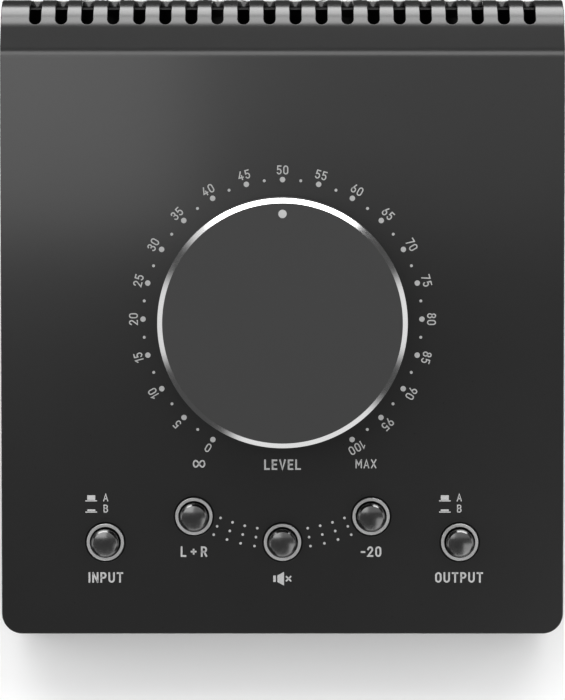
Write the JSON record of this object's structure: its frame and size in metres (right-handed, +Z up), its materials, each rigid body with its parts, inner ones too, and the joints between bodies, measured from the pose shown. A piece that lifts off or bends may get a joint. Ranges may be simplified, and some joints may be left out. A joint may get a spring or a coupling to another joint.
{
  "type": "studio monitor controller",
  "caption": "Sloped desk controller for studio monitors: a large turning volume knob on a dial of numbers, sprung push buttons, and jack sockets at the back.",
  "frame": {"origin": "on the desk, under the middle of the object's box", "axes": "+X to the user's right, +Y away from the user to the sockets, +Z up"},
  "size_m": [0.13, 0.1492, 0.0626],
  "materials": {
    "cover_paint": "satin black powder coat",
    "tray_paint": "satin black powder coat",
    "foot_rubber": "matt black rubber",
    "screw_steel": "black zinc",
    "knob_metal": "black anodised face, bright cut bevel",
    "knob_dot": "light grey",
    "moulded_black": "moulded black",
    "pot_metal": "nickel plated",
    "wafer_plastic": "brown laminate wafers",
    "board_laminate": "green circuit board",
    "jack_plastic": "moulded black",
    "nut_nickel": "nickel plated",
    "ribbon_grey": "grey ribbon",
    "header_black": "moulded black",
    "button_chrome": "dark chrome on plastic",
    "ring_silver": "satin silver",
    "switch_black": "moulded black",
    "switch_white": "moulded white",
    "spring_steel": "spring wire"
  },
  "bodies": {
    "case": {"top_cover": "cover_paint", "cover_posts": "cover_paint", "base_tray": "tray_paint", "front_left_foot": "foot_rubber", "front_right_foot": "foot_rubber", "rear_left_foot": "foot_rubber", "rear_right_foot": "foot_rubber", "base_screws": "screw_steel", "board_screws": "screw_steel", "pot_bushing": "pot_metal", "pot_washer": "pot_metal", "pot_nut": "pot_metal", "board_spacers": "pot_metal", "pot_gangs": "wafer_plastic", "control_board": "board_laminate", "jack_board": "board_laminate", "input_a_left_jack": "jack_plastic", "input_a_right_jack": "jack_plastic", "input_b_left_jack": "jack_plastic", "input_b_right_jack": "jack_plastic", "output_a_left_jack": "jack_plastic", "output_a_right_jack": "jack_plastic", "output_b_left_jack": "jack_plastic", "output_b_right_jack": "jack_plastic", "jack_nuts": "nut_nickel", "jack_washers": "nut_nickel", "ribbon_cable": "ribbon_grey", "ribbon_headers": "header_black", "source_button_ring": "ring_silver", "source_switch_body": "switch_black", "source_switch_spring": "spring_steel", "mono_button_ring": "ring_silver", "mono_switch_body": "switch_black", "mono_switch_spring": "spring_steel", "mute_button_ring": "ring_silver", "mute_switch_body": "switch_black", "mute_switch_spring": "spring_steel", "dim_button_ring": "ring_silver", "dim_switch_body": "switch_black", "dim_switch_spring": "spring_steel", "monitor_button_ring": "ring_silver", "monitor_switch_body": "switch_black", "monitor_switch_spring": "spring_steel"},
    "knob": {"knob_cap": "knob_metal", "knob_core": "moulded_black", "knob_pointer": "knob_dot", "pot_shaft": "pot_metal", "shaft_clip": "pot_metal"},
    "source_button": {"source_button_cap": "button_chrome", "source_switch_stem": "switch_white"},
    "mono_button": {"mono_button_cap": "button_chrome", "mono_switch_stem": "switch_white"},
    "mute_button": {"mute_button_cap": "button_chrome", "mute_switch_stem": "switch_white"},
    "dim_button": {"dim_button_cap": "button_chrome", "dim_switch_stem": "switch_white"},
    "monitor_button": {"monitor_button_cap": "button_chrome", "monitor_switch_stem": "switch_white"}
  },
  "joints": [
    {"name": "knob_turn", "type": "hinge", "parent": "case", "child": "knob", "pos_m": [0, -0.00409, 0.0485], "axis": [0, -0.1564, 0.9877], "range_deg": [-150, 150]},
    {"name": "source_press", "type": "slide", "parent": "case", "child": "source_button", "axis": [0, -0.1564, 0.9877], "range_m": [-0.0025, 0], "stiffness_N_per_m": 700, "deforming": ["source_switch_spring"]},
    {"name": "mono_press", "type": "slide", "parent": "case", "child": "mono_button", "axis": [0, -0.1564, 0.9877], "range_m": [-0.0025, 0], "stiffness_N_per_m": 700, "deforming": ["mono_switch_spring"]},
    {"name": "mute_press", "type": "slide", "parent": "case", "child": "mute_button", "axis": [0, -0.1564, 0.9877], "range_m": [-0.0025, 0], "stiffness_N_per_m": 700, "deforming": ["mute_switch_spring"]},
    {"name": "dim_press", "type": "slide", "parent": "case", "child": "dim_button", "axis": [0, -0.1564, 0.9877], "range_m": [-0.0025, 0], "stiffness_N_per_m": 700, "deforming": ["dim_switch_spring"]},
    {"name": "monitor_press", "type": "slide", "parent": "case", "child": "monitor_button", "axis": [0, -0.1564, 0.9877], "range_m": [-0.0025, 0], "stiffness_N_per_m": 700, "deforming": ["monitor_switch_spring"]}
  ]
}
